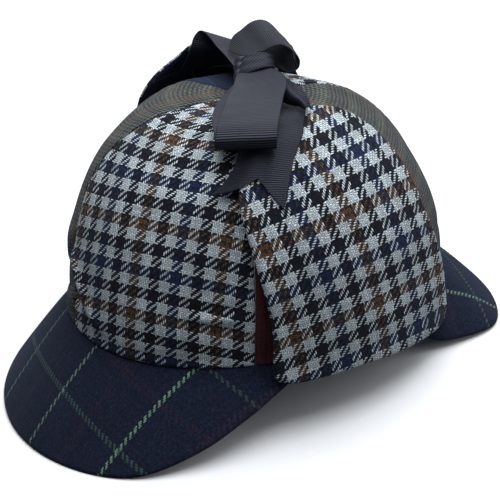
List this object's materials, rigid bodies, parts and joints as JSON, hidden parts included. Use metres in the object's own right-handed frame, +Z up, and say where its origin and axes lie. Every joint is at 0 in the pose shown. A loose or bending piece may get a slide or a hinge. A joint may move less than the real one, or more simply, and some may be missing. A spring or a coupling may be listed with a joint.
{
  "type": "deerstalker hat",
  "caption": "Patchwork tweed deerstalker hat with a peak at front and back and both ear flaps folded up and tied with a ribbon bow on top",
  "frame": {"origin": "on the table, under the middle of the hat's bounding box", "axes": "+X is the wearer's left, -Y is the front, where the longer peak is, and +Z is up; the hat rests on the edges of its two peaks"},
  "size_m": [0.1818, 0.2792, 0.1764],
  "materials": {
    "houndstooth_tweed": "woven wool, matt",
    "red_tweed": "woven wool, matt",
    "olive_tweed": "woven wool, matt",
    "navy_tweed": "woven wool, matt",
    "navy_windowpane_tweed": "woven wool, matt",
    "black_grosgrain": "ribbed ribbon, slight sheen"
  },
  "bodies": {
    "root": {"crown_panel_front_left": "houndstooth_tweed", "crown_panel_left": "red_tweed", "crown_panel_rear_left": "olive_tweed", "crown_panel_rear_right": "houndstooth_tweed", "crown_panel_right": "navy_tweed", "crown_panel_front_right": "olive_tweed", "peak_front": "navy_windowpane_tweed", "peak_rear": "navy_windowpane_tweed", "ear_flap_left": "houndstooth_tweed", "ear_flap_right": "houndstooth_tweed", "ribbon_left": "black_grosgrain", "ribbon_right": "black_grosgrain", "bow_loop_front": "black_grosgrain", "bow_loop_rear": "black_grosgrain", "bow_tail_left": "black_grosgrain", "bow_tail_right": "black_grosgrain", "bow_knot": "black_grosgrain"}
  },
  "joints": []
}
